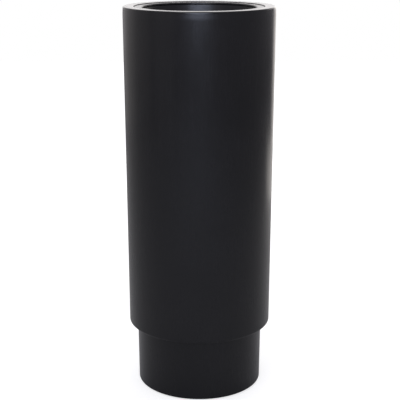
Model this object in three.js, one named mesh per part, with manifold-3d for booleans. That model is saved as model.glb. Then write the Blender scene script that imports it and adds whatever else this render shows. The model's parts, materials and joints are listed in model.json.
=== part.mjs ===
// Tall round planter: a moulded fibreglass shell with a recessed foot, a bonded rim ring with a
// rabbet, and a lift-out planting insert that hangs in that rabbet.
// Millimetres, +Z up. The origin is on the floor, on the planter's axis.
import * as THREE from 'three';
import { mergeVertices } from 'three/addons/utils/BufferGeometryUtils.js';
import Module from 'manifold-3d';

const wasm = await Module();
wasm.setup();

// ---------- Driving dimensions ----------

// Shell: one laminate, foot and drum together, drafted so that it leaves its mould upwards.
const totalHeight = 900; // floor to the top of the rim
const rimDiameter = 346;
const drumBaseDiameter = 337; // just above the step
const footTopDiameter = 298; // just under the step
const footBaseDiameter = 295;
const footHeight = 152; // floor to the step
const shellWall = 4.5;
const shellFloor = 6;
const stepEdgeRadius = 4; // outer edge of the drum's underside
const stepCreaseRadius = 2.5; // where the foot meets the drum's underside
const footEdgeRadius = 3.5;

// Rim ring: bonded on the shell's top edge, with a skirt inside the wall.
const rimBand = 25; // width of the flat rim
const rimPlate = 5; // thickness of the ring's laminate
const rimEdgeRadius = 3;
const rimInnerEdgeRadius = 1;
const skirtDepth = 42; // rim top to the skirt's lower edge
const skirtWall = 4;

// Insert: a drafted tub with a turned-out flange, and a trim ring bonded on the flange.
const insertGap = 1.9; // dark line between the rim and the trim ring
const insertDrop = 1.4; // rim top down to the trim ring's top
const trimBand = 16; // width of the trim ring
const trimThickness = 5;
const trimInnerEdgeRadius = 2.4;
const trimOuterEdgeRadius = 1;
const lipOverhang = 1.6; // trim ring beyond the tub's inner wall
const tubDepth = 285; // rim top to the inside of the tub's floor
const tubBaseDiameter = 236; // inside, at the floor
const tubWall = 3.5;
const tubFloor = 4;
const tubFlange = 3;
const tubFloorRadius = 16; // inside corner of wall and floor
const tubSlip = 3; // tub wall to the ledge that it passes through
const floorFall = 2; // the tub's floor falls this much towards the drain

// Drain holes and their rubber plugs, one in the tub and one in the shell.
const tubDrainDiameter = 22;
const shellDrainDiameter = 26;
const plugShoulder = 6; // plug head beyond the hole, all round
const plugHead = 4;
const plugTail = 2; // stem below the floor that it closes, less than the pads' thickness
const plugKnobDiameter = 14;
const plugKnobHeight = 9;
const plugTaper = 1.2; // stem radius lost from shoulder to tip
const drainSeatWidth = 10; // flat round the tub's drain, beyond the hole

// Lift handles: two wire bails that fold down against the tub's wall.
const bailWire = 5;
const bailSpan = 84; // between the centres of the two legs
const bailDrop = 76; // pivot to the centre of the grip
const gripBend = 14; // wire's centre line, between leg and grip
const pinBend = 5; // wire's centre line, between leg and pin
const bailPinReach = 15; // centre of a leg to the end of its pin
const pivotDepth = 36; // rim top to the pivots
const pinClearance = 0.35; // pin to its bore, on the radius
const pinEndClearance = 1;
const bendClearance = 0.6; // end of the pin's bend to its socket's face

// Sockets: plastic blocks riveted to the tub's wall, with a bore for each pin.
const socketWidth = 21;
const socketHeight = 32;
const socketCorner = 5;
const socketBevel = 1.4;
const socketCover = 4; // plastic round the bore, towards the wall and towards the middle
const rivetDiameter = 4;
const rivetPitch = 20; // upper to lower rivet
const rivetHeadDiameter = 8;
const rivetHeadHeight = 1.6;
const rivetTailDiameter = 6.5;
const rivetTailHeight = 1.2;

// Pads under the foot.
const padCount = 6;
const padDiameter = 28;
const padThickness = 2.5;
const padInset = 22; // foot's edge to the pad's centre

// Clearances and facets.
const bondGap = 0.3; // glue line between bonded pieces
const seatGap = 0.3; // between pieces that rest on each other
const ringSegments = 60;
const plugSegments = 20;
const smallSegments = 12;
const wireSteps = 48;
const arcSteps = 3;
const chamferLimit = 1.5; // fillets up to this radius are a single facet

// ---------- Derived dimensions ----------

const rimRadius = rimDiameter / 2;
const drumBaseRadius = drumBaseDiameter / 2;
const footTopRadius = footTopDiameter / 2;
const footBaseRadius = footBaseDiameter / 2;

const rabbetRadius = rimRadius - rimBand;
const trimOuterRadius = rabbetRadius - insertGap;
const trimInnerRadius = trimOuterRadius - trimBand;
const trimTop = totalHeight - insertDrop;
const trimBottom = trimTop - trimThickness;

const tubTopRadius = trimInnerRadius + lipOverhang;
const tubBaseRadius = tubBaseDiameter / 2;
const tubTop = trimBottom - bondGap;
const tubFloorTop = totalHeight - tubDepth;
const ledgeRadius = tubTopRadius + tubWall + tubSlip;
const ledgeTop = tubTop - tubFlange - seatGap;

const shellBase = padThickness + bondGap;
const shellTop = totalHeight - rimPlate - bondGap;
const pivotHeight = totalHeight - pivotDepth;
const wireRadius = bailWire / 2;
const boreRadius = wireRadius + pinClearance;
const legY = bailSpan / 2;
const pinEndY = legY + bailPinReach;
const socketFaceY = legY + pinBend + bendClearance;

// Outside radius of the drum at a height.
function drumRadiusAt(z) {
  const t = (z - footHeight) / (totalHeight - footHeight);
  return THREE.MathUtils.lerp(drumBaseRadius, rimRadius, t);
}

// Inside radius of the tub at a height.
function tubRadiusAt(z) {
  const t = (z - tubFloorTop) / (tubTop - tubFloorTop);
  return THREE.MathUtils.lerp(tubBaseRadius, tubTopRadius, t);
}

// The pin's far end stops socketCover short of the wall, which sets how far the pivots stand in.
const pinReachRadius = tubRadiusAt(pivotHeight) - seatGap - socketCover - boreRadius;
const pivotX = Math.sqrt(pinReachRadius ** 2 - (pinEndY + pinEndClearance) ** 2);
const socketAngle = Math.atan2((socketFaceY + pinEndY) / 2, pivotX);
const socketInnerRadius = Math.hypot(pivotX, socketFaceY) - boreRadius - socketCover;

// ---------- Materials ----------

const material = (color, roughness, metalness = 0) =>
  new THREE.MeshStandardMaterial({ color, roughness, metalness });
const satinBlack = material(0x1b1b1d, 0.42);
const rawLaminate = material(0x222225, 0.6);
const blackPlastic = material(0x151516, 0.5);
const blackRubber = material(0x0f0f10, 0.85);
const steel = material(0xb9bbbd, 0.28, 1);
const aluminium = material(0xa9abae, 0.4, 1);

// ---------- Geometry helpers ----------

// A closed outline from corners [r, z, fillet].
function outline(corners) {
  const points = [];
  corners.forEach(([r, z, fillet = 0], i) => {
    const corner = new THREE.Vector2(r, z);
    if (!fillet) {
      points.push(corner);
      return;
    }
    const [pr, pz] = corners.at(i - 1);
    const [nr, nz] = corners[(i + 1) % corners.length];
    const back = new THREE.Vector2(pr, pz).sub(corner).normalize();
    const ahead = new THREE.Vector2(nr, nz).sub(corner).normalize();
    const half = back.angleTo(ahead) / 2;
    const toCentre = back.clone().add(ahead).setLength(fillet / Math.sin(half));
    const centre = corner.clone().add(toCentre);
    const start = corner.clone().addScaledVector(back, fillet / Math.tan(half)).sub(centre);
    const turn = Math.sign(back.cross(ahead)) * (Math.PI - 2 * half);
    const steps = fillet > chamferLimit ? arcSteps : 1;
    for (let k = 0; k <= steps; k++) {
      const spoke = start.clone().rotateAround(new THREE.Vector2(), -turn * (k / steps));
      points.push(spoke.add(centre));
    }
  });
  return points;
}

// A body of revolution about Z from a closed outline, or from one that ends on the axis.
function revolve(points, segments = ringSegments) {
  const closed = points[0].x > 0;
  const loop = closed ? [...points, points[0]] : points;
  const anticlockwise = THREE.ShapeUtils.area(points) > 0;
  const ordered = anticlockwise ? loop : [...loop].reverse();
  return new THREE.LatheGeometry(ordered, segments).rotateX(Math.PI / 2);
}

// A three.js geometry as a manifold-3d solid, and back.
function toSolid(geometry) {
  const bare = geometry.index ? geometry.toNonIndexed() : geometry.clone();
  bare.deleteAttribute('normal');
  bare.deleteAttribute('uv');
  const merged = mergeVertices(bare, 1e-3);
  return new wasm.Manifold(
    new wasm.Mesh({
      numProp: 3,
      vertProperties: merged.attributes.position.array,
      triVerts: new Uint32Array(merged.index.array),
    })
  );
}

function toGeometry(solid) {
  const mesh = solid.getMesh();
  const geometry = new THREE.BufferGeometry();
  geometry.setAttribute('position', new THREE.BufferAttribute(mesh.vertProperties, 3));
  geometry.setIndex(new THREE.BufferAttribute(mesh.triVerts, 1));
  geometry.computeVertexNormals();
  return geometry;
}

// A round bar along Z, from one height to another.
function bar(radius, from, to, segments = smallSegments) {
  const cylinder = new THREE.CylinderGeometry(radius, radius, to - from, segments);
  return cylinder.rotateX(Math.PI / 2).translate(0, 0, (from + to) / 2);
}

// Turns something made along +Z so that it points outwards at an angle round the tub.
function pointOutwards(geometry, angle, z) {
  return geometry.rotateY(Math.PI / 2).rotateZ(angle).translate(0, 0, z);
}

function named(name, geometry, finish) {
  const mesh = new THREE.Mesh(geometry, finish);
  mesh.name = name;
  return mesh;
}

// ---------- Shell and rim ----------

function shellGeometry() {
  const drain = shellDrainDiameter / 2;
  const innerFloor = shellBase + shellFloor;
  const innerStep = footHeight + shellWall;
  return revolve(
    outline([
      [drain, shellBase],
      [footBaseRadius, shellBase, footEdgeRadius],
      [footTopRadius, footHeight, stepCreaseRadius],
      [drumBaseRadius, footHeight, stepEdgeRadius],
      [drumRadiusAt(shellTop), shellTop],
      [drumRadiusAt(shellTop) - shellWall, shellTop],
      [drumBaseRadius - shellWall, innerStep, stepCreaseRadius],
      [footTopRadius - shellWall, innerStep, stepEdgeRadius],
      [footBaseRadius - shellWall, innerFloor, footEdgeRadius],
      [drain, innerFloor],
    ])
  );
}

// The section steps down from the flat rim to the ledge, and its skirt lines the shell's wall.
function rimRingGeometry() {
  const plateBottom = totalHeight - rimPlate;
  const ledgeBottom = ledgeTop - rimPlate;
  const skirtBottom = totalHeight - skirtDepth;
  const skirtTopRadius = drumRadiusAt(plateBottom) - shellWall - bondGap;
  const skirtBottomRadius = drumRadiusAt(skirtBottom) - shellWall - bondGap;
  return revolve(
    outline([
      [drumRadiusAt(plateBottom), plateBottom],
      [rimRadius, totalHeight, rimEdgeRadius],
      [rabbetRadius, totalHeight, rimInnerEdgeRadius],
      [rabbetRadius, ledgeTop],
      [ledgeRadius, ledgeTop, rimInnerEdgeRadius],
      [ledgeRadius, ledgeBottom],
      [rabbetRadius + rimPlate, ledgeBottom],
      [rabbetRadius + rimPlate, plateBottom],
      [skirtTopRadius - skirtWall, plateBottom],
      [skirtBottomRadius - skirtWall, skirtBottom],
      [skirtBottomRadius, skirtBottom],
      [skirtTopRadius, plateBottom],
    ])
  );
}

function padMeshes() {
  const radius = footBaseRadius - padInset;
  return Array.from({ length: padCount }, (_, i) => {
    const pad = named(
      `foot_pad_${i + 1}`,
      bar(padDiameter / 2, 0, padThickness, plugSegments),
      blackRubber
    );
    const angle = ((i + 0.5) / padCount) * 2 * Math.PI;
    pad.position.set(radius * Math.cos(angle), radius * Math.sin(angle), 0);
    return pad;
  });
}

// ---------- Insert ----------

function tubGeometry() {
  const drain = tubDrainDiameter / 2;
  const drainSeat = drain + drainSeatWidth;
  const under = tubFloorTop - floorFall - tubFloor;
  const flangeBottom = tubTop - tubFlange;
  const outerFillet = tubFloorRadius + tubWall;
  const tub = toSolid(
    revolve(
      outline([
        [drain, under],
        [tubBaseRadius + tubWall, under, outerFillet],
        [tubTopRadius + tubWall, flangeBottom],
        [trimOuterRadius, flangeBottom],
        [trimOuterRadius, tubTop],
        [tubTopRadius, tubTop, rimInnerEdgeRadius],
        [tubBaseRadius, tubFloorTop, tubFloorRadius],
        [drainSeat, tubFloorTop - floorFall],
        [drain, tubFloorTop - floorFall],
      ])
    )
  );
  return toGeometry(socketPlaces().reduce((body, place) => body.subtract(rivetHoles(place)), tub));
}

function trimRingGeometry() {
  return revolve(
    outline([
      [trimInnerRadius, trimBottom, rimInnerEdgeRadius],
      [trimOuterRadius, trimBottom],
      [trimOuterRadius, trimTop, trimOuterEdgeRadius],
      [trimInnerRadius, trimTop, trimInnerEdgeRadius],
    ])
  );
}

// A rubber bung: a tapered stem, a shoulder that rests on the floor, and a knob to pull it by.
function plugGeometry(holeDiameter, floorTop, floorBottom) {
  const stem = holeDiameter / 2 - seatGap;
  const head = holeDiameter / 2 + plugShoulder;
  const knob = plugKnobDiameter / 2;
  const neck = knob * 0.7;
  const shoulder = floorTop + seatGap;
  const headTop = shoulder + plugHead;
  const knobTop = headTop + plugKnobHeight;
  return revolve(
    outline([
      [0, floorBottom - plugTail],
      [stem - plugTaper, floorBottom - plugTail],
      [stem, shoulder],
      [head, shoulder],
      [head, headTop, 1],
      [neck, headTop],
      [knob, headTop + plugKnobHeight / 2, 2],
      [knob, knobTop, 2],
      [0, knobTop],
    ]),
    plugSegments
  );
}

// ---------- Lift handles ----------

// The four sockets: on each side, one each way from the handle's middle.
function socketPlaces() {
  return [0, Math.PI].flatMap((side) => [-1, 1].map((way) => ({ side, way })));
}

function rivetHeights() {
  return [pivotHeight - rivetPitch / 2, pivotHeight + rivetPitch / 2];
}

function rivetHoles({ side, way }) {
  const [lower, upper] = rivetHeights().map((z) => {
    const hole = bar(rivetDiameter / 2 + seatGap, socketInnerRadius - 5, trimOuterRadius);
    return toSolid(pointOutwards(hole, side + way * socketAngle, z));
  });
  return lower.add(upper);
}

// A bevelled block that points outwards, trimmed to the tub's wall and to a face across the pin.
function socketGeometry(way) {
  const w = socketWidth / 2;
  const h = socketHeight / 2;
  const c = socketCorner;
  const face = new THREE.Shape()
    .moveTo(-h + c, -w)
    .lineTo(h - c, -w)
    .absarc(h - c, -w + c, c, -Math.PI / 2, 0)
    .lineTo(h, w - c)
    .absarc(h - c, w - c, c, 0, Math.PI / 2)
    .lineTo(-h + c, w)
    .absarc(-h + c, w - c, c, Math.PI / 2, Math.PI)
    .lineTo(-h, -w + c)
    .absarc(-h + c, -w + c, c, Math.PI, 1.5 * Math.PI);
  const block = new THREE.ExtrudeGeometry(face, {
    depth: tubTopRadius - socketInnerRadius,
    curveSegments: 3,
    bevelSize: socketBevel,
    bevelOffset: -socketBevel,
    bevelThickness: socketBevel,
    bevelSegments: 2,
  }).translate(0, 0, socketInnerRadius + socketBevel);
  const insideOfTub = revolve(
    outline([
      [0, tubFloorTop],
      [tubRadiusAt(tubFloorTop) - seatGap, tubFloorTop],
      [tubRadiusAt(tubTop) - seatGap, tubTop],
      [0, tubTop],
    ])
  );
  const faceCut = new THREE.BoxGeometry(rimDiameter, rimDiameter, totalHeight);
  faceCut.translate(0, way * (socketFaceY + rimRadius), pivotHeight);
  const bore = bar(boreRadius, 0, pinEndY + pinEndClearance);
  bore.rotateX((-way * Math.PI) / 2).translate(pivotX, 0, pivotHeight);
  return toGeometry(
    toSolid(pointOutwards(block, way * socketAngle, pivotHeight))
      .intersect(toSolid(insideOfTub))
      .intersect(toSolid(faceCut))
      .subtract(toSolid(bore))
      .subtract(rivetHoles({ side: 0, way }))
  );
}

// A rivet along +Z: domed head inside the tub, flat tail against the tub's outer wall.
function rivetGeometry(z) {
  const headFace = socketInnerRadius - seatGap;
  const wallFace = tubRadiusAt(z) + tubWall + seatGap;
  return revolve(
    outline([
      [0, headFace - rivetHeadHeight],
      [rivetHeadDiameter / 2, headFace - rivetHeadHeight, 1],
      [rivetHeadDiameter / 2, headFace],
      [rivetDiameter / 2, headFace],
      [rivetDiameter / 2, wallFace],
      [rivetTailDiameter / 2, wallFace],
      [rivetTailDiameter / 2, wallFace + rivetTailHeight],
      [0, wallFace + rivetTailHeight],
    ]),
    smallSegments
  );
}

// One wire, bent to a U with its two ends turned out along the pivot line.
function bailGeometry() {
  const path = new THREE.CurvePath();
  const stops = [
    [-pinEndY, 0],
    [-legY, 0],
    [-legY, -bailDrop],
    [legY, -bailDrop],
    [legY, 0],
    [pinEndY, 0],
  ].map(([y, z]) => new THREE.Vector3(0, y, z));
  const radii = [0, pinBend, gripBend, gripBend, pinBend, 0];
  let from = stops[0];
  for (let i = 1; i < stops.length - 1; i++) {
    const before = stops[i].clone().lerp(stops[i - 1], radii[i] / stops[i].distanceTo(stops[i - 1]));
    const after = stops[i].clone().lerp(stops[i + 1], radii[i] / stops[i].distanceTo(stops[i + 1]));
    path.add(new THREE.LineCurve3(from, before));
    path.add(new THREE.QuadraticBezierCurve3(before, stops[i], after));
    from = after;
  }
  path.add(new THREE.LineCurve3(from, stops.at(-1)));
  const section = new THREE.Shape().absarc(0, 0, wireRadius, 0, 2 * Math.PI);
  return new THREE.ExtrudeGeometry(section, {
    steps: wireSteps,
    curveSegments: 4,
    extrudePath: path,
  });
}

// A handle on the +X side: the bail, its two sockets and their rivets. The two places name the
// ends towards -Y and +Y as they lie once the group is turned to its own side.
function handleGroup(side, places) {
  const group = new THREE.Group();
  const bail = named(`${side}_handle`, bailGeometry(), steel);
  bail.position.set(pivotX, 0, pivotHeight);
  group.add(bail);
  for (const [way, place] of [[-1, places[0]], [1, places[1]]]) {
    group.add(named(`${side}_${place}_socket`, socketGeometry(way), blackPlastic));
    rivetHeights().forEach((z, i) => {
      const rivet = rivetGeometry(z);
      const level = ['lower', 'upper'][i];
      const turned = pointOutwards(rivet, way * socketAngle, z);
      group.add(named(`${side}_${place}_rivet_${level}`, turned, aluminium));
    });
  }
  return group;
}

// ---------- Assembly ----------

const planter = new THREE.Group();
planter.add(named('outer_shell', shellGeometry(), satinBlack));
planter.add(named('rim_ring', rimRingGeometry(), satinBlack));
planter.add(...padMeshes());
planter.add(
  named(
    'shell_drain_plug',
    plugGeometry(shellDrainDiameter, shellBase + shellFloor, shellBase),
    blackRubber
  )
);

const insert = new THREE.Group();
insert.add(named('insert_tub', tubGeometry(), rawLaminate));
insert.add(named('insert_trim_ring', trimRingGeometry(), satinBlack));
const drainTop = tubFloorTop - floorFall;
insert.add(
  named(
    'insert_drain_plug',
    plugGeometry(tubDrainDiameter, drainTop, drainTop - tubFloor),
    blackRubber
  )
);
const rightHandle = handleGroup('right', ['front', 'back']);
const leftHandle = handleGroup('left', ['back', 'front']);
leftHandle.rotation.z = Math.PI;
insert.add(rightHandle, leftHandle);
planter.add(insert);

export default planter;
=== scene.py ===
"""Looks for a tall round fibreglass planter: finely turned pieces, finishes, floor, light, camera.

Lengths are in millimetres unless a name ends in _M; MM turns them into Blender's metres.
"""

import json
import math

import bpy
from mathutils import Matrix, Vector

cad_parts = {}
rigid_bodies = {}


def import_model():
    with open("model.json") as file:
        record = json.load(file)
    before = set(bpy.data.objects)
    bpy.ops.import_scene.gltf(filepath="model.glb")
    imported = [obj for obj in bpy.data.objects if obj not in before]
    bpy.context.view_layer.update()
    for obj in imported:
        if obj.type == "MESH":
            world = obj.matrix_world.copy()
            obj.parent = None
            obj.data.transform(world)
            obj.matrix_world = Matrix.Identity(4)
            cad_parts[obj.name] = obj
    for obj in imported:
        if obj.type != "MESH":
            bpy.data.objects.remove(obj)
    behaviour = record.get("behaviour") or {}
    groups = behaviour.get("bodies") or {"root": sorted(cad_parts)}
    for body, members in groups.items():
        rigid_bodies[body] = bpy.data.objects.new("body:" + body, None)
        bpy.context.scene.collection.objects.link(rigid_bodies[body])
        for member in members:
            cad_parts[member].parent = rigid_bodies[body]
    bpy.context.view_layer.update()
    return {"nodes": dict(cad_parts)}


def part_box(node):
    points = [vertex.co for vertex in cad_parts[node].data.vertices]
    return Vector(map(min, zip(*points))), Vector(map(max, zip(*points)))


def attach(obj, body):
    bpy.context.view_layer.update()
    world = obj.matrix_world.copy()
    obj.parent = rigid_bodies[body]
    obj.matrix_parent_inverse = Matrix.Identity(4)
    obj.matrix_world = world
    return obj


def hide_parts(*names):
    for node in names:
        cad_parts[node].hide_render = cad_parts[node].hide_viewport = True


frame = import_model()

MM = 0.001

# ---------- Sizes ----------
# What the frame states is read from it; the rest are the sections' own thicknesses and radii.


def node_box(node):
    """A CAD node's lowest and highest corners, in millimetres."""
    low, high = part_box(node)
    return low / MM, high / MM


shell_low, _ = node_box("outer_shell")
rim_low, rim_high = node_box("rim_ring")
trim_low, trim_high = node_box("insert_trim_ring")
tub_low, tub_high = node_box("insert_tub")
handle_low, handle_high = node_box("right_handle")

BOND_GAP = 0.3
BOND_LINE = 0.02  # what the adhesive leaves of the bond gap on the outside
SEAT_GAP = 0.3
DRAIN_EDGE_RADIUS = 0.8

TOTAL_HEIGHT = rim_high.z
RIM_RADIUS = rim_high.x
SHELL_BASE = shell_low.z
SHELL_WALL = 4.5
SHELL_FLOOR = 6
DRUM_BASE_RADIUS = 168.5
FOOT_TOP_RADIUS = 149
FOOT_BASE_RADIUS = 147.5
FOOT_HEIGHT = 152
EASE_HEIGHT = 20  # how far below the rim's top the drum starts to lean in
EASE_STRAIGHT = 13  # from this far below the top the lean is even
EASE_SLOPE = 0.052
EASE_STEPS = 8
FOOT_EDGE_RADIUS = 3.5
STEP_EDGE_RADIUS = 4
STEP_CREASE_RADIUS = 2.5
SHELL_DRAIN_RADIUS = 13

RIM_BAND = 25
RIM_PLATE = 5
RIM_EDGE_RADIUS = 3
RIM_EDGE_LEAD = 0.5  # the lean's points end this far short of the rim's rounded edge
RIM_INNER_EDGE_RADIUS = 1
RIM_UNDER_RADIUS = 3
RABBET_RADIUS = RIM_RADIUS - RIM_BAND
RABBET_CORNER_RADIUS = 0.6
SKIRT_BOTTOM = rim_low.z
SKIRT_WALL = 4
SKIRT_CREASE_RADIUS = 2
SKIRT_EDGE_RADIUS = 1.2

TRIM_OUTER_RADIUS = trim_high.x
TRIM_BAND = 16
TRIM_INNER_RADIUS = TRIM_OUTER_RADIUS - TRIM_BAND
TRIM_TOP = trim_high.z
TRIM_BOTTOM = trim_low.z
TRIM_INNER_EDGE_RADIUS = 3.2
TRIM_OUTER_EDGE_RADIUS = 1
TRIM_UNDER_EDGE_RADIUS = 0.5

TUB_TOP = tub_high.z
TUB_UNDER = tub_low.z
TUB_WALL = 3.5
TUB_FLOOR = 4
TUB_FLANGE = 3
TUB_FLOOR_FALL = 2
TUB_FLOOR_RADIUS = 16
TUB_DRAIN_RADIUS = 11
TUB_DRAIN_SEAT = 10
LIP_OVERHANG = 1.6
TUB_SLIP = 3
FLANGE_CREASE_RADIUS = 1.5
FLANGE_EDGE_RADIUS = 0.6
TUB_FLOOR_TOP = TUB_UNDER + TUB_FLOOR + TUB_FLOOR_FALL
TUB_TOP_RADIUS = TRIM_INNER_RADIUS + LIP_OVERHANG
TUB_BASE_RADIUS = 118
LEDGE_RADIUS = TUB_TOP_RADIUS + TUB_WALL + TUB_SLIP
LEDGE_TOP = TUB_TOP - TUB_FLANGE - BOND_GAP

PAD_HOLLOW_TOP = 0.4
PAD_HOLLOW_RADIUS = 0.6  # this and the next are shares of the pad's radius
PAD_HOLLOW_MOUTH = 0.65
PAD_HOLLOW_FILLET = 0.3
PAD_EDGE_RADIUS = 0.7
PAD_TOP_EDGE_RADIUS = 0.5

PLUG_SHOULDER = 6
PLUG_HEAD = 4
PLUG_TAPER = 1.2
PLUG_TIP_RADIUS = 0.8
PLUG_SEAT_RADIUS = 0.5
PLUG_HEAD_RADIUS = 1.4
PLUG_KNOB_RADIUS = 7
PLUG_KNOB_HEIGHT = 9
PLUG_KNOB_EDGE_RADIUS = 2
PLUG_NECK_RADIUS = PLUG_KNOB_RADIUS * 0.7
PLUG_NECK_TOP = PLUG_KNOB_HEIGHT * 0.3
PLUG_NECK_FILLET = 0.8
PLUG_KNOB_START = PLUG_KNOB_HEIGHT * 0.55
PLUG_KNOB_FILLET = 1.2

WIRE_RADIUS = (handle_high.x - handle_low.x) / 2
PIVOT_X = (handle_high.x + handle_low.x) / 2
PIVOT_HEIGHT = handle_high.z - WIRE_RADIUS
PIN_END_Y = handle_high.y
BAIL_DROP = PIVOT_HEIGHT - handle_low.z - WIRE_RADIUS
LEG_Y = 42
GRIP_BEND = 14
PIN_BEND = 5
WIRE_END = [(0, 0.62), (0.35, 0.9), (0.9, 1)]  # from a wire's end: distance, share of its radius

SOCKET_HALF_WIDTH = 10.5
SOCKET_HALF_HEIGHT = 16
SOCKET_CORNER = 5
SOCKET_BEVEL = 1.4
SOCKET_COVER = 4
SOCKET_EDGE = 0.35
BEND_CLEARANCE = 0.6
PIN_CLEARANCE = 0.35
PIN_END_CLEARANCE = 1
SOCKET_FACE_Y = LEG_Y + PIN_BEND + BEND_CLEARANCE
BORE_RADIUS = WIRE_RADIUS + PIN_CLEARANCE
BORE_END_Y = PIN_END_Y + PIN_END_CLEARANCE
SOCKET_ANGLE = math.atan2((SOCKET_FACE_Y + PIN_END_Y) / 2, PIVOT_X)
SOCKET_INNER_RADIUS = math.hypot(PIVOT_X, SOCKET_FACE_Y) - BORE_RADIUS - SOCKET_COVER
BLOCK_SPARE = 4  # how far an uncut block reaches beyond the tub's wall
DRILL_BEFORE = 5  # how far the rivet holes' cutters start before the block
DRILL_BEYOND = 8  # and end beyond the tub's wall

RIVET_RADIUS = 2
RIVET_HALF_PITCH = 10
RIVET_HEAD_RADIUS = 4
RIVET_HEAD_HEIGHT = 1.6
RIVET_HEAD_EDGE = 0.55
RIVET_DOME_RADIUS = RIVET_HEAD_RADIUS * 0.62
RIVET_DOME_DROP = 0.15
RIVET_DOME_FILLET = 1.2
RIVET_DIMPLE_DEPTH = 0.7
RIVET_DIMPLE_RADIUS = 0.8
RIVET_DIMPLE_MOUTH = 1.15
RIVET_DIMPLE_FILLET = 0.15
RIVET_MOUTH_FILLET = 0.2
RIVET_HEAD_FILLET = 0.3
RIVET_SEAT_FILLET = 0.15
RIVET_TAIL_RADIUS = 3.25
RIVET_TAIL_HEIGHT = 1.2
RIVET_TAIL_SEAT_FILLET = 0.35
RIVET_TAIL_FILLET = 0.5

RING_SEGMENTS = 256
SMALL_SEGMENTS = 48
RIVET_SEGMENTS = 32
HOLE_SEGMENTS = 24
WIRE_SIDES = 24
FILLET_STEPS = 7
BEND_STEPS = 14
CORNER_STEPS = 6
SOCKET_BEVEL_STEPS = 5
SOCKET_EDGE_STEPS = 2
RIVET_FILLET_STEPS = 4
SHARP_ANGLE = math.radians(32)
BROKEN_EDGE_ANGLE = math.radians(50)
ON_AXIS = 1e-6  # points of a section nearer the axis than this lie on it

# ---------- Mesh helpers ----------


def outline(corners, steps=FILLET_STEPS):
    """Points of a section from its corners (r, z, fillet radius)."""
    points = []
    for i, (r, z, *rest) in enumerate(corners):
        fillet = rest[0] if rest else 0
        corner = Vector((r, z))
        if not fillet:
            points.append(corner)
            continue
        before = (Vector(corners[i - 1][:2]) - corner).normalized()
        after = (Vector(corners[(i + 1) % len(corners)][:2]) - corner).normalized()
        half = before.angle(after) / 2
        centre = corner + (before + after).normalized() * fillet / math.sin(half)
        start = corner + before * fillet / math.tan(half) - centre
        side = 1 if before.x * after.y - before.y * after.x > 0 else -1
        sweep = -side * (math.pi - 2 * half)
        for k in range(steps + 1):
            spoke = start.copy()
            spoke.rotate(Matrix.Rotation(sweep * k / steps, 2))
            points.append(centre + spoke)
    return points


def circle(radius, z, segments):
    """Points of a level circle about Z."""
    angles = [2 * math.pi * k / segments for k in range(segments)]
    return [(radius * math.cos(a), radius * math.sin(a), z) for a in angles]


def loops_mesh(name, loops):
    """A closed mesh of a stack of loops with as many points each. Each loop turns right-handed."""
    count = len(loops[0])
    faces = [list(range(count))[::-1], [(len(loops) - 1) * count + k for k in range(count)]]
    for i in range(len(loops) - 1):
        low, high = i * count, (i + 1) * count
        for k in range(count):
            k2 = (k + 1) % count
            faces.append([low + k, low + k2, high + k2, high + k])
    mesh = bpy.data.meshes.new(name)
    mesh.from_pydata([p for loop in loops for p in loop], [], faces)
    return mesh


def link(name, mesh, *materials):
    """A new object of a mesh, smooth but for its sharp edges."""
    for material in materials:
        mesh.materials.append(material)
    mesh.shade_smooth()
    mesh.set_sharp_from_angle(angle=SHARP_ANGLE)
    piece = bpy.data.objects.new(name, mesh)
    bpy.context.scene.collection.objects.link(piece)
    return piece


def revolved(name, points, materials, segments=RING_SEGMENTS, place=Matrix(), second_from=None):
    """Turns a section about Z. Sections that touch the axis close there with a fan.

    From the point second_from on, its faces have the second material.
    """
    verts, faces, rings, strips = [], [], [], []
    for p in points:
        ring = [(0, 0, p.y)] if p.x < ON_AXIS else circle(p.x, p.y, segments)
        rings.append(range(len(verts), len(verts) + len(ring)))
        verts.extend(ring)
    pairs = list(zip(range(len(points) - 1), range(1, len(points))))
    if points[0].x >= ON_AXIS:
        pairs.append((len(points) - 1, 0))
    for low, high in pairs:
        a, b = rings[low], rings[high]
        for k in range(segments):
            k2 = (k + 1) % segments
            quad = [a[k % len(a)], a[k2 % len(a)], b[k2 % len(b)], b[k % len(b)]]
            faces.append(list(dict.fromkeys(quad)))
            strips.append(low)
    mesh = bpy.data.meshes.new(name)
    mesh.from_pydata(verts, [], faces)
    if second_from is not None:
        mesh.polygons.foreach_set("material_index", [int(s >= second_from) for s in strips])
    mesh.transform(Matrix.Scale(MM, 4) @ place)
    return link(name, mesh, *materials)


def carved(name, mesh, *cuts):
    """The mesh after boolean cuts (operation, tool mesh), with its sharp edges broken."""
    body = bpy.data.objects.new(name, mesh)
    scene = bpy.context.scene.collection.objects
    scene.link(body)
    tools = []
    for operation, tool_mesh in cuts:
        tool = bpy.data.objects.new(name + "_tool", tool_mesh)
        scene.link(tool)
        tools.append(tool)
        cut = body.modifiers.new("cut", "BOOLEAN")
        cut.operation = operation
        cut.object = tool
        cut.solver = "EXACT"
    edge = body.modifiers.new("edge", "BEVEL")
    edge.width = SOCKET_EDGE
    edge.segments = SOCKET_EDGE_STEPS
    edge.limit_method = "ANGLE"
    edge.angle_limit = BROKEN_EDGE_ANGLE
    bpy.context.view_layer.update()
    graph = bpy.context.evaluated_depsgraph_get()
    made = bpy.data.meshes.new_from_object(body.evaluated_get(graph))
    for scratch in (body, *tools):
        bpy.data.objects.remove(scratch)
    return made


def put(piece, body, slot, *nodes):
    """Seats a finished piece on its body in the place of the CAD nodes it stands for."""
    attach(piece, body)
    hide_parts(*nodes)


# ---------- Materials ----------


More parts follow.
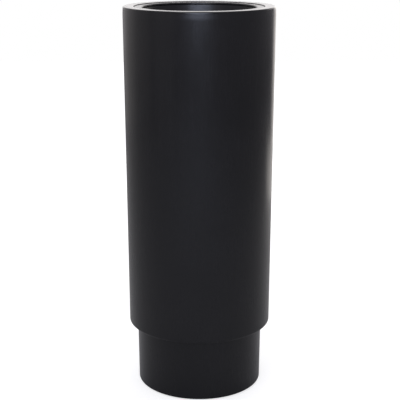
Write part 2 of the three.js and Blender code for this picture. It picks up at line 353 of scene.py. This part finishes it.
class Finish:
    """A Principled material with short calls for the nodes that its detail needs.

    The colour and roughness it starts with are about what its nodes give on average.
    """

    def __init__(self, name, colour, roughness, metallic=0, specular=0.5):
        self.material = bpy.data.materials.new(name)
        self.material.use_nodes = True
        self.nodes = self.material.node_tree.nodes
        self.links = self.material.node_tree.links
        self.shader = self.nodes["Principled BSDF"]
        self.shader.inputs["Base Color"].default_value = (*colour, 1)
        self.shader.inputs["Roughness"].default_value = roughness
        self.shader.inputs["Metallic"].default_value = metallic
        self.shader.inputs["Specular IOR Level"].default_value = specular
        self.place = self.nodes.new("ShaderNodeTexCoord").outputs["Object"]
        self.normal = None

    def stretched(self, x, y, z):
        """Object coordinates multiplied along each axis."""
        mapping = self.nodes.new("ShaderNodeMapping")
        mapping.inputs["Scale"].default_value = (x, y, z)
        self.links.new(self.place, mapping.inputs["Vector"])
        return mapping.outputs["Vector"]

    def noise(self, scale, detail=2, rough=0.5, place=None):
        node = self.nodes.new("ShaderNodeTexNoise")
        node.inputs["Scale"].default_value = scale
        node.inputs["Detail"].default_value = detail
        node.inputs["Roughness"].default_value = rough
        self.links.new(place or self.place, node.inputs["Vector"])
        return node.outputs["Fac"]

    def cells(self, scale):
        """Distance to the nearest of scattered points."""
        node = self.nodes.new("ShaderNodeTexVoronoi")
        node.inputs["Scale"].default_value = scale
        self.links.new(self.place, node.inputs["Vector"])
        return node.outputs["Distance"]

    def ranged(self, value, low=0, high=1, from_low=0.3, from_high=0.7):
        """Maps a value; most of a noise lies within the range it is mapped from here."""
        node = self.nodes.new("ShaderNodeMapRange")
        node.inputs["From Min"].default_value = from_low
        node.inputs["From Max"].default_value = from_high
        node.inputs["To Min"].default_value = low
        node.inputs["To Max"].default_value = high
        self.links.new(value, node.inputs["Value"])
        return node.outputs["Result"]

    def math(self, operation, a, b):
        node = self.nodes.new("ShaderNodeMath")
        node.operation = operation
        self.links.new(a, node.inputs[0])
        self.links.new(b, node.inputs[1])
        return node.outputs["Value"]

    def colour_mix(self, fac, low, high):
        node = self.nodes.new("ShaderNodeMix")
        node.data_type = "RGBA"
        node.inputs["A"].default_value = (*low, 1)
        node.inputs["B"].default_value = (*high, 1)
        self.links.new(fac, node.inputs["Factor"])
        self.links.new(node.outputs["Result"], self.shader.inputs["Base Color"])

    def rough(self, value):
        self.links.new(value, self.shader.inputs["Roughness"])

    def bump(self, height, distance_mm, strength):
        """Adds one layer of bump over those already there."""
        node = self.nodes.new("ShaderNodeBump")
        node.inputs["Strength"].default_value = strength
        node.inputs["Distance"].default_value = distance_mm * MM
        self.links.new(height, node.inputs["Height"])
        if self.normal:
            self.links.new(self.normal, node.inputs["Normal"])
        self.normal = node.outputs["Normal"]
        self.links.new(self.normal, self.shader.inputs["Normal"])


def gelcoat(name, roughness):
    """Satin black gelcoat: orange peel, a slow unevenness from the mould, handling marks."""
    f = Finish(name, (0.0083, 0.0080, 0.0090), roughness, specular=0.35)
    cloud = f.noise(scale=9, detail=3)
    speckle = f.noise(scale=1400, detail=1)
    marks = f.noise(scale=60, detail=4, rough=0.7, place=f.stretched(1, 1, 0.15))
    f.colour_mix(f.ranged(cloud), low=(0.0074, 0.0071, 0.0081), high=(0.0093, 0.0090, 0.0100))
    base = f.ranged(cloud, low=roughness - 0.02, high=roughness + 0.02)
    wear = f.math("ADD", f.ranged(marks, low=-0.02, high=0.03),
                  f.ranged(speckle, low=-0.02, high=0.02))
    f.rough(f.math("ADD", base, wear))
    f.bump(f.noise(scale=14, detail=1), distance_mm=0.5, strength=0.25)
    f.bump(f.noise(scale=420, detail=2), distance_mm=0.03, strength=0.6)
    return f.material


def laminate():
    """The rolled side of a fibreglass laminate: short strands under a thin black topcoat."""
    f = Finish("laminate", (0.015, 0.0148, 0.016), 0.32)
    across = 0.12
    strands = [
        f.noise(scale=300, detail=1, place=f.stretched(*stretch))
        for stretch in ((1, across, across), (across, 1, across), (across, across, 1))
    ]
    weave = f.math("MAXIMUM", strands[0], f.math("MAXIMUM", strands[1], strands[2]))
    fac = f.ranged(weave, from_low=0.5, from_high=0.8)
    f.colour_mix(fac, low=(0.012, 0.0118, 0.0128), high=(0.020, 0.0197, 0.0212))
    f.rough(f.ranged(f.noise(scale=40, detail=3), low=0.28, high=0.4))
    f.bump(weave, distance_mm=0.25, strength=0.5)
    f.bump(f.noise(scale=30, detail=2), distance_mm=0.8, strength=0.3)
    return f.material


def rubber():
    """Moulded rubber: dull, fine-pored, with a light bloom in patches."""
    f = Finish("rubber", (0.008, 0.008, 0.008), 0.78, specular=0.35)
    bloom = f.ranged(f.noise(scale=160, detail=4))
    f.colour_mix(bloom, low=(0.006, 0.006, 0.0062), high=(0.014, 0.0138, 0.0135))
    f.rough(f.ranged(f.noise(scale=500, detail=3), low=0.68, high=0.88))
    f.bump(f.noise(scale=1500, detail=2), distance_mm=0.04, strength=0.5)
    return f.material


def nylon():
    """Spark-textured black nylon."""
    f = Finish("nylon", (0.010, 0.010, 0.0105), 0.5, specular=0.45)
    grain = f.cells(scale=1300)
    patches = f.ranged(f.noise(scale=90, detail=3))
    f.colour_mix(patches, low=(0.0085, 0.0085, 0.009), high=(0.0135, 0.0135, 0.014))
    f.rough(f.ranged(grain, low=0.42, high=0.6, from_low=0.1, from_high=0.7))
    f.bump(grain, distance_mm=0.05, strength=0.5)
    return f.material


def wire():
    """Drawn stainless wire: fine lines along it, with a few dull patches."""
    f = Finish("wire", (0.56, 0.565, 0.57), 0.26, metallic=1)
    lines = f.noise(scale=900, detail=2, place=f.stretched(1, 0.04, 0.04))
    patches = f.ranged(f.noise(scale=120, detail=4))
    f.colour_mix(patches, low=(0.47, 0.47, 0.465), high=(0.62, 0.625, 0.63))
    f.rough(f.ranged(lines, low=0.18, high=0.36))
    f.bump(lines, distance_mm=0.02, strength=0.4)
    return f.material


def aluminium():
    """Mill-finish aluminium with a dull oxide."""
    f = Finish("aluminium", (0.5, 0.505, 0.51), 0.4, metallic=1)
    oxide = f.ranged(f.noise(scale=300, detail=4))
    f.colour_mix(oxide, low=(0.4, 0.4, 0.405), high=(0.58, 0.585, 0.59))
    f.rough(f.ranged(f.noise(scale=900, detail=3), low=0.3, high=0.5))
    f.bump(f.noise(scale=1200, detail=2), distance_mm=0.02, strength=0.4)
    return f.material


GELCOAT = gelcoat("gelcoat", roughness=0.25)
RIM_GELCOAT = gelcoat("rim_gelcoat", roughness=0.12)
TRIM_GELCOAT = gelcoat("trim_gelcoat", roughness=0.19)
LAMINATE = laminate()
RUBBER = rubber()
NYLON = nylon()
WIRE = wire()
ALUMINIUM = aluminium()

# ---------- Shell and rim ----------


def cone_radius(z):
    """The drum's outside as the mould makes it, a straight cone."""
    t = (z - FOOT_HEIGHT) / (TOTAL_HEIGHT - FOOT_HEIGHT)
    return DRUM_BASE_RADIUS + (RIM_RADIUS - DRUM_BASE_RADIUS) * t


def drum_radius(z):
    """The drum's outside, which leans in a little just under the rim where it was rubbed down."""
    down = TOTAL_HEIGHT - z
    bend_length = EASE_HEIGHT - EASE_STRAIGHT
    bend = max(0, EASE_HEIGHT - max(down, EASE_STRAIGHT)) ** 2 / (2 * bend_length)
    return cone_radius(z) - EASE_SLOPE * (bend + max(0, EASE_STRAIGHT - down))


def eased(low, high):
    """Points of the drum's outside between two heights."""
    heights = [low + (high - low) * k / EASE_STEPS for k in range(EASE_STEPS + 1)]
    return [(drum_radius(z), z) for z in heights]


def build_shell():
    """Drum, step and foot in one laminate, gelcoat outside and rolled inside."""
    inner_floor = SHELL_BASE + SHELL_FLOOR
    inner_step = FOOT_HEIGHT + SHELL_WALL
    top = TOTAL_HEIGHT - RIM_PLATE - BOND_LINE
    inner_top = (cone_radius(top) - SHELL_WALL, top)
    section = outline([
        (SHELL_DRAIN_RADIUS, SHELL_BASE, DRAIN_EDGE_RADIUS),
        (FOOT_BASE_RADIUS, SHELL_BASE, FOOT_EDGE_RADIUS),
        (FOOT_TOP_RADIUS, FOOT_HEIGHT, STEP_CREASE_RADIUS),
        (DRUM_BASE_RADIUS, FOOT_HEIGHT, STEP_EDGE_RADIUS),
        *eased(TOTAL_HEIGHT - EASE_HEIGHT, top),
        inner_top,
        (DRUM_BASE_RADIUS - SHELL_WALL, inner_step, STEP_CREASE_RADIUS),
        (FOOT_TOP_RADIUS - SHELL_WALL, inner_step, STEP_EDGE_RADIUS),
        (FOOT_BASE_RADIUS - SHELL_WALL, inner_floor, FOOT_EDGE_RADIUS),
        (SHELL_DRAIN_RADIUS, inner_floor, DRAIN_EDGE_RADIUS),
    ])
    inside_from = section.index(Vector(inner_top))
    piece = revolved("shell_moulding", section, (GELCOAT, LAMINATE), second_from=inside_from)
    put(piece, "shell", "black_gelcoat", "outer_shell")


def build_rim():
    """The bonded rim: flat band, rabbet with its ledge, and a skirt inside the wall."""
    plate_bottom = TOTAL_HEIGHT - RIM_PLATE
    ledge_bottom = LEDGE_TOP - RIM_PLATE
    skirt_top = cone_radius(plate_bottom) - SHELL_WALL - BOND_GAP
    skirt_bottom = cone_radius(SKIRT_BOTTOM) - SHELL_WALL - BOND_GAP
    section = outline([
        *eased(plate_bottom, TOTAL_HEIGHT - RIM_EDGE_RADIUS - RIM_EDGE_LEAD),
        (drum_radius(TOTAL_HEIGHT), TOTAL_HEIGHT, RIM_EDGE_RADIUS),
        (RABBET_RADIUS, TOTAL_HEIGHT, RIM_INNER_EDGE_RADIUS),
        (RABBET_RADIUS, LEDGE_TOP, RABBET_CORNER_RADIUS),
        (LEDGE_RADIUS, LEDGE_TOP, RIM_INNER_EDGE_RADIUS),
        (LEDGE_RADIUS, ledge_bottom),
        (RABBET_RADIUS + RIM_PLATE, ledge_bottom, RIM_UNDER_RADIUS),
        (RABBET_RADIUS + RIM_PLATE, plate_bottom),
        (skirt_top - SKIRT_WALL, plate_bottom, SKIRT_CREASE_RADIUS),
        (skirt_bottom - SKIRT_WALL, SKIRT_BOTTOM, SKIRT_EDGE_RADIUS),
        (skirt_bottom, SKIRT_BOTTOM, SKIRT_EDGE_RADIUS),
        (skirt_top, plate_bottom),
    ])
    piece = revolved("rim_moulding", section, (RIM_GELCOAT,))
    put(piece, "shell", "black_gelcoat", "rim_ring")


# ---------- Insert ----------


def build_trim():
    """The flat ring that shows inside the rim, bonded on the tub's flange."""
    section = outline([
        (TRIM_INNER_RADIUS, TRIM_BOTTOM, RIM_INNER_EDGE_RADIUS),
        (TRIM_OUTER_RADIUS, TRIM_BOTTOM, TRIM_UNDER_EDGE_RADIUS),
        (TRIM_OUTER_RADIUS, TRIM_TOP, TRIM_OUTER_EDGE_RADIUS),
        (TRIM_INNER_RADIUS, TRIM_TOP, TRIM_INNER_EDGE_RADIUS),
    ])
    piece = revolved("insert_trim_moulding", section, (TRIM_GELCOAT,))
    put(piece, "insert", "black_gelcoat", "insert_trim_ring")


def build_tub():
    """The drafted tub, its flange, and a floor that falls towards the drain."""
    flange_under = TUB_TOP - TUB_FLANGE
    drain_seat = TUB_FLOOR_TOP - TUB_FLOOR_FALL
    section = outline([
        (TUB_DRAIN_RADIUS, TUB_UNDER, DRAIN_EDGE_RADIUS),
        (TUB_BASE_RADIUS + TUB_WALL, TUB_UNDER, TUB_FLOOR_RADIUS + TUB_WALL),
        (TUB_TOP_RADIUS + TUB_WALL, flange_under, FLANGE_CREASE_RADIUS),
        (TRIM_OUTER_RADIUS, flange_under, FLANGE_EDGE_RADIUS),
        (TRIM_OUTER_RADIUS, TUB_TOP, FLANGE_EDGE_RADIUS),
        (TUB_TOP_RADIUS, TUB_TOP, RIM_INNER_EDGE_RADIUS),
        (TUB_BASE_RADIUS, TUB_FLOOR_TOP, TUB_FLOOR_RADIUS),
        (TUB_DRAIN_RADIUS + TUB_DRAIN_SEAT, drain_seat),
        (TUB_DRAIN_RADIUS, drain_seat, DRAIN_EDGE_RADIUS),
    ])
    piece = revolved("insert_tub_moulding", section, (LAMINATE,))
    put(piece, "insert", "liner_laminate", "insert_tub")


# ---------- Pads and plugs ----------


def build_pads():
    """Rubber pads, each with a shallow hollow underneath."""
    for node in [n for n in frame["nodes"] if n.startswith("foot_pad")]:
        low, high = node_box(node)
        centre = (low + high) / 2
        radius = (high.x - low.x) / 2
        section = outline([
            (0, PAD_HOLLOW_TOP),
            (radius * PAD_HOLLOW_RADIUS, PAD_HOLLOW_TOP, PAD_HOLLOW_FILLET),
            (radius * PAD_HOLLOW_MOUTH, low.z, PAD_HOLLOW_FILLET),
            (radius, low.z, PAD_EDGE_RADIUS),
            (radius, high.z, PAD_TOP_EDGE_RADIUS),
            (0, high.z),
        ])
        name = node.replace("pad", "pad_moulded")
        place = Matrix.Translation((centre.x, centre.y, 0))
        piece = revolved(name, section, (RUBBER,), SMALL_SEGMENTS, place)
        put(piece, "shell", "black_rubber", node)


def build_plug(node, body):
    """A rubber bung: tapered stem, head with a rounded edge, waisted pull knob."""
    low, high = node_box(node)
    head = high.x
    stem = head - PLUG_SHOULDER - SEAT_GAP
    head_top = high.z - PLUG_KNOB_HEIGHT
    shoulder = head_top - PLUG_HEAD
    section = outline([
        (0, low.z),
        (stem - PLUG_TAPER, low.z, PLUG_TIP_RADIUS),
        (stem, shoulder, PLUG_SEAT_RADIUS),
        (head, shoulder, PLUG_SEAT_RADIUS),
        (head, head_top, PLUG_HEAD_RADIUS),
        (PLUG_NECK_RADIUS, head_top, PLUG_KNOB_FILLET),
        (PLUG_NECK_RADIUS, head_top + PLUG_NECK_TOP, PLUG_NECK_FILLET),
        (PLUG_KNOB_RADIUS, head_top + PLUG_KNOB_START, PLUG_KNOB_FILLET),
        (PLUG_KNOB_RADIUS, high.z, PLUG_KNOB_EDGE_RADIUS),
        (0, high.z),
    ])
    piece = revolved(node + "_moulded", section, (RUBBER,), SMALL_SEGMENTS)
    put(piece, body, "black_rubber", node)


# ---------- Lift handles ----------


def tub_radius(z):
    """Inside radius of the tub at a height."""
    t = (z - TUB_FLOOR_TOP) / (TUB_TOP - TUB_FLOOR_TOP)
    return TUB_BASE_RADIUS + (TUB_TOP_RADIUS - TUB_BASE_RADIUS) * t


def outwards(angle, z):
    """The matrix that turns +Z to point outwards at an angle about the planter, at a height."""
    about = Matrix.Rotation(angle, 4, "Z")
    return Matrix.Translation((0, 0, z)) @ about @ Matrix.Rotation(math.pi / 2, 4, "Y")


def build_bail(side, sign):
    """One wire, bent to a U with its two ends turned out along the pivots."""
    path = outline([
        (-PIN_END_Y, 0),
        (-LEG_Y, 0, PIN_BEND),
        (-LEG_Y, -BAIL_DROP, GRIP_BEND),
        (LEG_Y, -BAIL_DROP, GRIP_BEND),
        (LEG_Y, 0, PIN_BEND),
        (PIN_END_Y, 0),
    ], steps=BEND_STEPS)
    first = [(Vector((-PIN_END_Y + d, 0)), share) for d, share in WIRE_END]
    last = [(Vector((PIN_END_Y - d, 0)), share) for d, share in reversed(WIRE_END)]
    stations = first + [(p, 1) for p in path[1:-1]] + last
    loops = []
    for i, (p, share) in enumerate(stations):
        before = stations[max(i - 1, 0)][0]
        after = stations[min(i + 1, len(stations) - 1)][0]
        along = (after - before).normalized()
        loop = []
        for k in range(WIRE_SIDES):
            a = -2 * math.pi * k / WIRE_SIDES
            out = WIRE_RADIUS * share * math.sin(a)
            x = sign * PIVOT_X + WIRE_RADIUS * share * math.cos(a)
            loop.append((x, p.x - along.y * out, PIVOT_HEIGHT + p.y + along.x * out))
        loops.append(loop)
    mesh = loops_mesh(side + "_bail_wire", loops)
    mesh.transform(Matrix.Scale(MM, 4))
    put(link(side + "_bail_wire", mesh, WIRE), side + "_bail", "handle_steel", side + "_handle")


def rounded_face(inset, z):
    """The socket's outline, seen from inside the tub, made smaller by an inset."""
    loop = []
    for corner, (sx, sy) in enumerate([(1, 1), (-1, 1), (-1, -1), (1, -1)]):
        x = sx * (SOCKET_HALF_HEIGHT - SOCKET_CORNER)
        y = sy * (SOCKET_HALF_WIDTH - SOCKET_CORNER)
        r = SOCKET_CORNER - inset
        for k in range(CORNER_STEPS + 1):
            a = math.pi / 2 * (corner + k / CORNER_STEPS)
            loop.append((x + r * math.cos(a), y + r * math.sin(a), z))
    return loop


def socket_block():
    """The uncut block, along +Z, with a rounded edge round its inner face."""
    loops = []
    for k in range(SOCKET_BEVEL_STEPS + 1):
        a = math.pi / 2 * k / SOCKET_BEVEL_STEPS
        z = SOCKET_INNER_RADIUS + SOCKET_BEVEL * (1 - math.cos(a))
        loops.append(rounded_face(SOCKET_BEVEL * (1 - math.sin(a)), z))
    loops.append(rounded_face(0, TUB_TOP_RADIUS + BLOCK_SPARE))
    return loops_mesh("block", loops)


def cylinder_mesh(radius, low, high, segments=SMALL_SEGMENTS):
    return loops_mesh("bar", [circle(radius, z, segments) for z in (low, high)])


def build_socket(node, side_angle, way):
    """A nylon block round a pin's bore, trimmed to the tub's wall and to a face across the pin."""
    block = socket_block()
    block.transform(outwards(way * SOCKET_ANGLE, PIVOT_HEIGHT))
    ends = (PIVOT_HEIGHT - 2 * SOCKET_HALF_HEIGHT, PIVOT_HEIGHT + 2 * SOCKET_HALF_HEIGHT)
    walls = [circle(tub_radius(z) - SEAT_GAP, z, RING_SEGMENTS) for z in ends]
    inside = loops_mesh("inside", walls)
    h = RIM_RADIUS
    square = [(-h, -h), (h, -h), (h, h), (-h, h)]
    levels = [[(x, y, z) for x, y in square] for z in (0, TOTAL_HEIGHT)]
    beyond_face = loops_mesh("beyond_face", levels)
    beyond_face.transform(Matrix.Translation((0, way * (SOCKET_FACE_Y + h), 0)))
    bore = cylinder_mesh(BORE_RADIUS, 0, BORE_END_Y)
    turn = Matrix.Rotation(-way * math.pi / 2, 4, "X")
    bore.transform(Matrix.Translation((PIVOT_X, 0, PIVOT_HEIGHT)) @ turn)
    cuts = [("INTERSECT", inside), ("INTERSECT", beyond_face), ("DIFFERENCE", bore)]
    drill = (RIVET_RADIUS + SEAT_GAP, SOCKET_INNER_RADIUS - DRILL_BEFORE,
             TUB_TOP_RADIUS + DRILL_BEYOND, HOLE_SEGMENTS)
    for z in (PIVOT_HEIGHT - RIVET_HALF_PITCH, PIVOT_HEIGHT + RIVET_HALF_PITCH):
        hole = cylinder_mesh(*drill)
        hole.transform(outwards(way * SOCKET_ANGLE, z))
        cuts.append(("DIFFERENCE", hole))
    mesh = carved(node + "_block", block, *cuts)
    mesh.transform(Matrix.Scale(MM, 4) @ Matrix.Rotation(side_angle, 4, "Z"))
    put(link(node + "_block", mesh, NYLON), "insert", "black_plastic", node)


def build_rivet(node, angle, z):
    """A blind rivet: domed head with the dimple of its drawn mandrel, and a flattened tail."""
    head_face = SOCKET_INNER_RADIUS - SEAT_GAP
    head_top = head_face - RIVET_HEAD_HEIGHT
    dimple = head_top + RIVET_DIMPLE_DEPTH
    wall_face = tub_radius(z) + TUB_WALL + SEAT_GAP
    tail_end = wall_face + RIVET_TAIL_HEIGHT
    section = outline([
        (0, dimple),
        (RIVET_DIMPLE_RADIUS, dimple, RIVET_DIMPLE_FILLET),
        (RIVET_DIMPLE_MOUTH, head_top, RIVET_MOUTH_FILLET),
        (RIVET_DOME_RADIUS, head_top + RIVET_DOME_DROP, RIVET_DOME_FILLET),
        (RIVET_HEAD_RADIUS, head_face - RIVET_HEAD_EDGE, RIVET_HEAD_FILLET),
        (RIVET_HEAD_RADIUS, head_face, RIVET_SEAT_FILLET),
        (RIVET_RADIUS, head_face),
        (RIVET_RADIUS, wall_face),
        (RIVET_TAIL_RADIUS, wall_face, RIVET_TAIL_SEAT_FILLET),
        (RIVET_TAIL_RADIUS, tail_end, RIVET_TAIL_FILLET),
        (0, tail_end),
    ], steps=RIVET_FILLET_STEPS)
    place = outwards(angle, z)
    piece = revolved(node + "_blind", section, (ALUMINIUM,), RIVET_SEGMENTS, place)
    put(piece, "insert", "rivet_aluminium", node)


def build_handles():
    """Both bails, each with its two sockets and their rivets."""
    for side, side_angle, sign in (("right", 0, 1), ("left", math.pi, -1)):
        build_bail(side, sign)
        for place, way in (("front", -sign), ("back", sign)):
            build_socket(f"{side}_{place}_socket", side_angle, way)
            for level, dz in (("lower", -RIVET_HALF_PITCH), ("upper", RIVET_HALF_PITCH)):
                angle = side_angle + way * SOCKET_ANGLE
                build_rivet(f"{side}_{place}_rivet_{level}", angle, PIVOT_HEIGHT + dz)


# ---------- Floor, light, camera ----------

WHITE = (1, 1, 1)
WINDOW_BLUE = (0.7, 0.78, 1)
WALL_CREAM = (1, 0.95, 0.89)
BACK_WARM = (1, 0.975, 0.95)
FILL_COLOUR = (0.96, 0.93, 1)
FILL_STRENGTH = 0.36
FLOOR_GREY = (0.5, 0.5, 0.5)
FLOOR_HALF_M = 6
FLOOR_LIFT = 0.7  # the camera's share of white round the planter
FLOOR_LIFT_FROM_M = 0.3  # from here the lift rises, to full white at the next
FLOOR_WHITE_FROM_M = 2.2

CAMERA_SENSOR = 36
CAMERA_LENS = 90.5
CAMERA_DISTANCE = 2297.6
CAMERA_HEIGHT = 1069.2
CAMERA_PITCH = 15.138  # degrees below the horizon
CAMERA_SHIFT = 0.0017  # this and the next are shares of the frame
CAMERA_RISE = -0.0004
CAMERA_REACH_M = 50

# Name, place, aim and size in metres, watts, colour, shape.
SOFTBOXES = (
    ("overhead", (0, 0, 3.2), (0, 0, 0), (2.0, 2.0), 24, WHITE, "RECTANGLE"),
    ("key", (-0.9, -2.2, 3.0), (0, 0, 0.6), (1.4, 1.4), 15, WHITE, "RECTANGLE"),
    ("window", (-0.09, -3.0, 1.47), (0, 0, 1.0), (2.3, 1.2), 36, WINDOW_BLUE, "ELLIPSE"),
    ("left_panel", (-1.9, 1.7, 1.3), (0, 0, 0.6), (2.4, 2.6), 4.8, WALL_CREAM, "RECTANGLE"),
    ("left_side", (-2.7, 0.1, 1.2), (0, 0, 0.6), (1.6, 2.2), 1.5, WALL_CREAM, "RECTANGLE"),
    ("left_front", (-2.2, -1.7, 1.2), (0, 0, 0.6), (1.6, 2.2), 1.5, WHITE, "RECTANGLE"),
    ("right_panel", (0.95, 2.3, 0.7), (0, 0, 0.6), (1.1, 1.3), 4.8, WALL_CREAM, "RECTANGLE"),
    ("right_low", (1.0, 1.3, 0.13), (0, 0, 0.4), (1.0, 0.24), 0.55, WALL_CREAM, "RECTANGLE"),
    ("right_floor", (1.15, 0.95, 1.1), (1.0, 0.85, 0), (0.7, 0.7), 3.2, WALL_CREAM, "RECTANGLE"),
    ("back", (0, 2.45, 1.85), (0, 0, 1.85), (2.4, 1.75), 13, BACK_WARM, "RECTANGLE"),
)


def build_world():
    """A dim fill, which the camera sees as white."""
    world = bpy.data.worlds.new("studio")
    bpy.context.scene.world = world
    world.use_nodes = True
    tree = world.node_tree
    tree.nodes.clear()
    white = tree.nodes.new("ShaderNodeBackground")
    white.inputs["Color"].default_value = (*WHITE, 1)
    fill = tree.nodes.new("ShaderNodeBackground")
    fill.inputs["Color"].default_value = (*FILL_COLOUR, 1)
    fill.inputs["Strength"].default_value = FILL_STRENGTH
    path = tree.nodes.new("ShaderNodeLightPath")
    mix = tree.nodes.new("ShaderNodeMixShader")
    out = tree.nodes.new("ShaderNodeOutputWorld")
    tree.links.new(path.outputs["Is Camera Ray"], mix.inputs["Fac"])
    tree.links.new(fill.outputs["Background"], mix.inputs[1])
    tree.links.new(white.outputs["Background"], mix.inputs[2])
    tree.links.new(mix.outputs["Shader"], out.inputs["Surface"])


def floor_material():
    """Pale, and lifted to white for the camera, less so round the planter, where its shadow is."""
    material = bpy.data.materials.new("floor")
    material.use_nodes = True
    tree = material.node_tree
    tree.nodes.clear()
    pale = tree.nodes.new("ShaderNodeBsdfDiffuse")
    pale.inputs["Color"].default_value = (*FLOOR_GREY, 1)
    path = tree.nodes.new("ShaderNodeLightPath")
    place = tree.nodes.new("ShaderNodeTexCoord")
    reach = tree.nodes.new("ShaderNodeVectorMath")
    reach.operation = "LENGTH"
    tree.links.new(place.outputs["Object"], reach.inputs[0])
    away = tree.nodes.new("ShaderNodeMapRange")
    away.interpolation_type = "SMOOTHSTEP"
    away.inputs["From Min"].default_value = FLOOR_LIFT_FROM_M
    away.inputs["From Max"].default_value = FLOOR_WHITE_FROM_M
    away.inputs["To Min"].default_value = FLOOR_LIFT
    away.inputs["To Max"].default_value = 1
    tree.links.new(reach.outputs["Value"], away.inputs["Value"])
    lift = tree.nodes.new("ShaderNodeMath")
    lift.operation = "MULTIPLY"
    tree.links.new(path.outputs["Is Camera Ray"], lift.inputs[0])
    tree.links.new(away.outputs["Result"], lift.inputs[1])
    glow = tree.nodes.new("ShaderNodeEmission")
    tree.links.new(lift.outputs["Value"], glow.inputs["Strength"])
    both = tree.nodes.new("ShaderNodeAddShader")
    tree.links.new(pale.outputs["BSDF"], both.inputs[0])
    tree.links.new(glow.outputs["Emission"], both.inputs[1])
    out = tree.nodes.new("ShaderNodeOutputMaterial")
    tree.links.new(both.outputs["Shader"], out.inputs["Surface"])
    return material


def build_floor():
    mesh = bpy.data.meshes.new("floor")
    h = FLOOR_HALF_M
    mesh.from_pydata([(-h, -h, 0), (h, -h, 0), (h, h, 0), (-h, h, 0)], [], [(0, 1, 2, 3)])
    mesh.materials.append(floor_material())
    floor = bpy.data.objects.new("floor", mesh)
    bpy.context.scene.collection.objects.link(floor)


def softbox(name, place_m, aim_m, size_m, watts, colour, shape):
    """An area lamp that faces the point it is aimed at."""
    lamp = bpy.data.lights.new(name, "AREA")
    lamp.shape = shape
    lamp.size, lamp.size_y = size_m
    lamp.energy = watts
    lamp.color = colour
    piece = bpy.data.objects.new(name, lamp)
    piece.location = place_m
    piece.rotation_mode = "QUATERNION"
    piece.rotation_quaternion = (Vector(aim_m) - Vector(place_m)).to_track_quat("-Z", "Y")
    bpy.context.scene.collection.objects.link(piece)


def build_camera():
    """The photograph's viewing angle and framing."""
    data = bpy.data.cameras.new("camera")
    data.sensor_width = CAMERA_SENSOR
    data.lens = CAMERA_LENS
    data.shift_x = CAMERA_SHIFT
    data.shift_y = CAMERA_RISE
    data.clip_end = CAMERA_REACH_M
    camera = bpy.data.objects.new("camera", data)
    camera.location = (0, -CAMERA_DISTANCE * MM, CAMERA_HEIGHT * MM)
    camera.rotation_euler = (math.radians(90 - CAMERA_PITCH), 0, 0)
    bpy.context.scene.collection.objects.link(camera)
    bpy.context.scene.camera = camera


build_camera()
build_world()
build_floor()
for box in SOFTBOXES:
    softbox(*box)
build_shell()
build_rim()
build_trim()
build_tub()
build_pads()
build_plug("shell_drain_plug", "shell_plug")
build_plug("insert_drain_plug", "insert_plug")
build_handles()

view = bpy.context.scene.view_settings
view.view_transform = "Standard"
